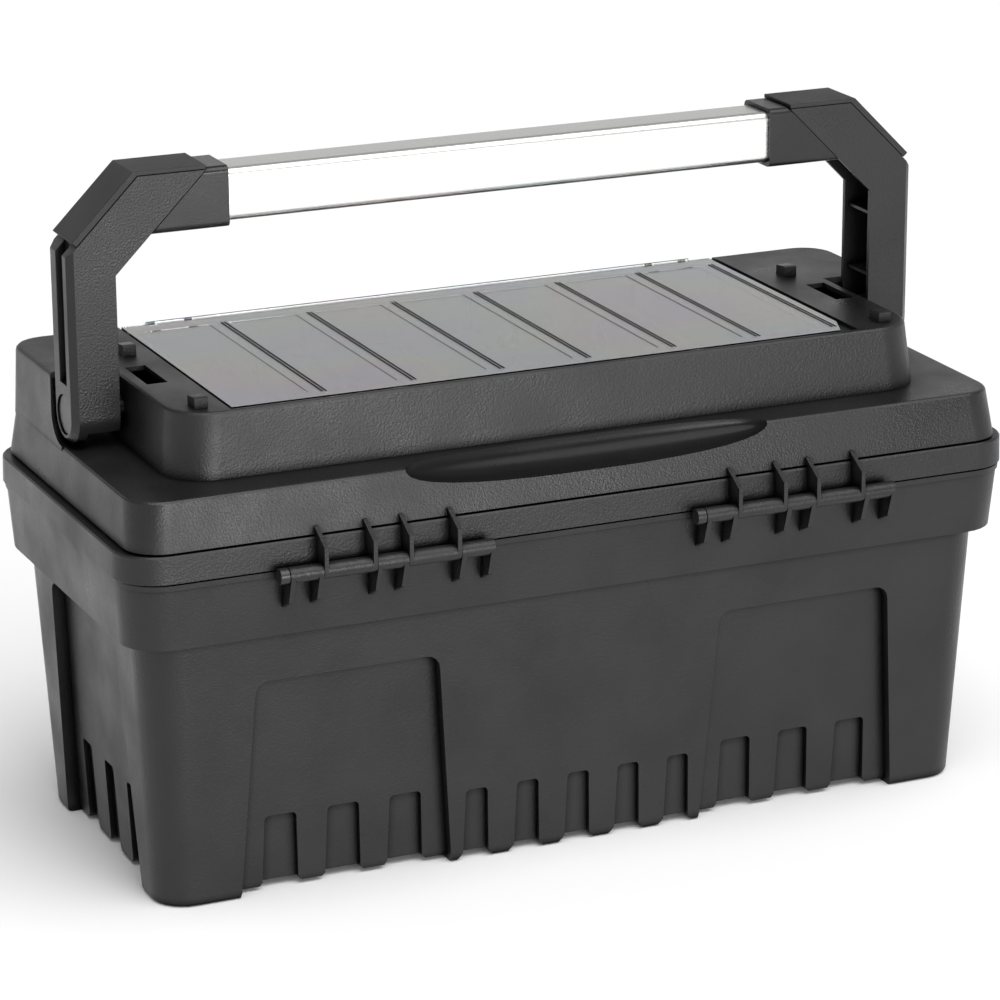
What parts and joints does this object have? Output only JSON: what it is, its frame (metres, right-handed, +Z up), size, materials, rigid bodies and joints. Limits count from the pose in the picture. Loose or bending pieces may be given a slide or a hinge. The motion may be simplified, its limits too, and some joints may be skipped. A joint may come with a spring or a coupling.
{
  "type": "carpenter toolbox",
  "caption": "Moulded plastic toolbox with a hinged lid, an organizer under a clear cover, fold-down bar handle, lid hinges and front latches.",
  "frame": {"origin": "middle of the footprint, on the surface that the tub stands on", "axes": "+X along the length, +Y towards the latch side (the hinge side is -Y), +Z up"},
  "size_m": [0.6, 0.29, 0.435],
  "materials": {
    "body_plastic": "fine-grained satin black polypropylene",
    "ferrule_plastic": "smooth semi-gloss black plastic",
    "pin_plastic": "smooth black plastic",
    "pad_rubber": "matt black rubber facing",
    "bar_aluminium": "satin anodised, light silver",
    "clear_cover": "clear moulded polycarbonate with a light smoke tint"
  },
  "bodies": {
    "tub": {"tub": "body_plastic", "hinge_pin_left": "pin_plastic", "hinge_pin_right": "pin_plastic"},
    "lid": {"lid": "body_plastic", "divider_1": "body_plastic", "divider_2": "body_plastic", "divider_3": "body_plastic", "divider_4": "body_plastic", "divider_5": "body_plastic", "divider_6": "body_plastic", "latch_pin_left": "pin_plastic", "latch_pin_right": "pin_plastic"},
    "organizer_cover": {"organizer_cover": "clear_cover"},
    "handle": {"handle_bar": "bar_aluminium", "handle_arm_left": "body_plastic", "handle_arm_right": "body_plastic", "corner_pad_left": "pad_rubber", "corner_pad_right": "pad_rubber", "ferrule_left": "ferrule_plastic", "ferrule_right": "ferrule_plastic", "pivot_pin_left": "pin_plastic", "pivot_pin_right": "pin_plastic"},
    "latch_left": {"latch_left": "body_plastic"},
    "latch_right": {"latch_right": "body_plastic"}
  },
  "joints": [
    {"name": "lid_hinge", "type": "hinge", "parent": "tub", "child": "lid", "pos_m": [0, -0.14, 0.2149], "axis": [1, 0, 0], "range_deg": [0, 100]},
    {"name": "handle_pivot", "type": "hinge", "parent": "lid", "child": "handle", "pos_m": [0, 0.0115, 0.2845], "axis": [1, 0, 0], "range_deg": [0, 90]},
    {"name": "organizer_cover_hinge", "type": "hinge", "parent": "lid", "child": "organizer_cover", "pos_m": [0, 0.1172, 0.3046], "axis": [-1, 0, 0], "range_deg": [0, 35]},
    {"name": "latch_left_pivot", "type": "hinge", "parent": "lid", "child": "latch_left", "pos_m": [-0.1375, 0.1385, 0.226], "axis": [1, 0, 0], "range_deg": [0, 100]},
    {"name": "latch_right_pivot", "type": "hinge", "parent": "lid", "child": "latch_right", "pos_m": [0.1375, 0.1385, 0.226], "axis": [1, 0, 0], "range_deg": [0, 100]}
  ]
}
